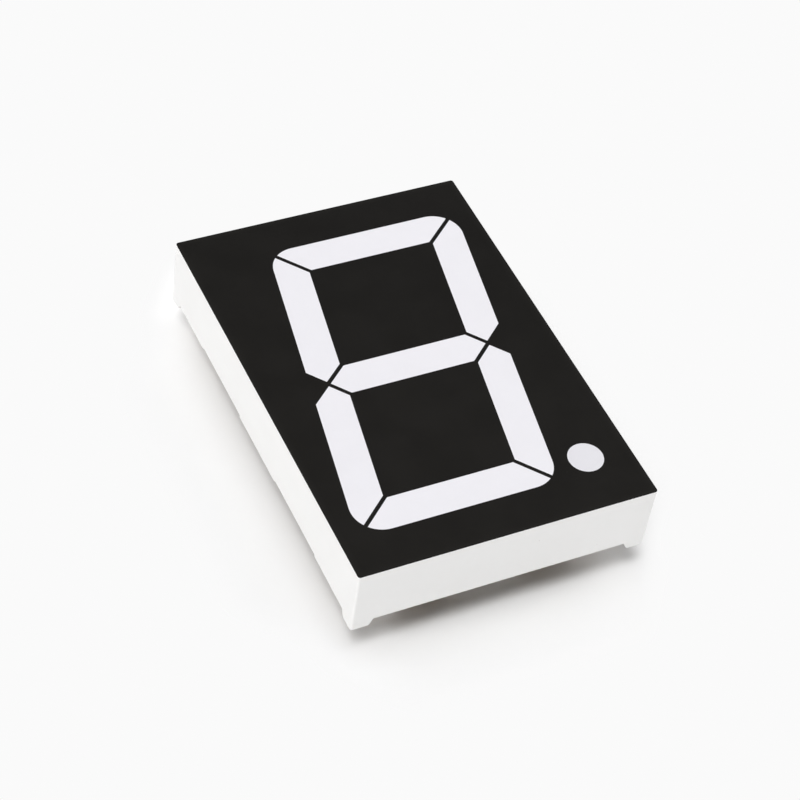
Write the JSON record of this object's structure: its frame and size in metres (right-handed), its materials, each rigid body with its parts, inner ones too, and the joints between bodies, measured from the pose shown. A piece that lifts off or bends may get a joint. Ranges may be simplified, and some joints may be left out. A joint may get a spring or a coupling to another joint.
{
  "type": "seven segment led display",
  "caption": "Single-digit seven-segment LED display with a decimal point, in a white reflector box with a black face and two rows of pins.",
  "frame": {"origin": "under the middle of the face, in the plane of the pin tips", "axes": "+X to the right of the digit, +Y up the digit, +Z out of the face"},
  "size_m": [0.048, 0.07, 0.017],
  "materials": {
    "white_moulding": "satin white moulded plastic with a fine eroded grain",
    "black_ink": "matt black printed ink",
    "milky_resin": "milky cast resin, satin, faintly lavender",
    "chip": "translucent semiconductor with a metal spot on top",
    "gold_wire": "bright drawn gold",
    "gilt_copper": "gold flashed copper foil",
    "tan_laminate": "bare tan glass-fibre laminate",
    "clear_resin": "glossy cast resin, slightly amber",
    "tinned_wire": "dull tin plate",
    "solder": "satin solder"
  },
  "bodies": {
    "root": {"housing": "white_moulding", "face_coat": "black_ink", "segment_a": "milky_resin", "segment_b": "milky_resin", "segment_c": "milky_resin", "segment_d": "milky_resin", "segment_e": "milky_resin", "segment_f": "milky_resin", "segment_g": "milky_resin", "decimal_point": "milky_resin", "chips_a": "chip", "chips_b": "chip", "chips_c": "chip", "chips_d": "chip", "chips_e": "chip", "chips_f": "chip", "chips_g": "chip", "chips_point": "chip", "bond_wires_a": "gold_wire", "bond_wires_b": "gold_wire", "bond_wires_c": "gold_wire", "bond_wires_d": "gold_wire", "bond_wires_e": "gold_wire", "bond_wires_f": "gold_wire", "bond_wires_g": "gold_wire", "bond_wires_point": "gold_wire", "copper_pads": "gilt_copper", "circuit_board": "tan_laminate", "edge_seal": "clear_resin", "pin_1": "tinned_wire", "pin_2": "tinned_wire", "pin_3": "tinned_wire", "pin_4": "tinned_wire", "pin_5": "tinned_wire", "pin_6": "tinned_wire", "pin_7": "tinned_wire", "pin_8": "tinned_wire", "pin_9": "tinned_wire", "pin_10": "tinned_wire", "solder_joint_1": "solder", "solder_joint_2": "solder", "solder_joint_3": "solder", "solder_joint_4": "solder", "solder_joint_5": "solder", "solder_joint_6": "solder", "solder_joint_7": "solder", "solder_joint_8": "solder", "solder_joint_9": "solder", "solder_joint_10": "solder"}
  },
  "joints": []
}
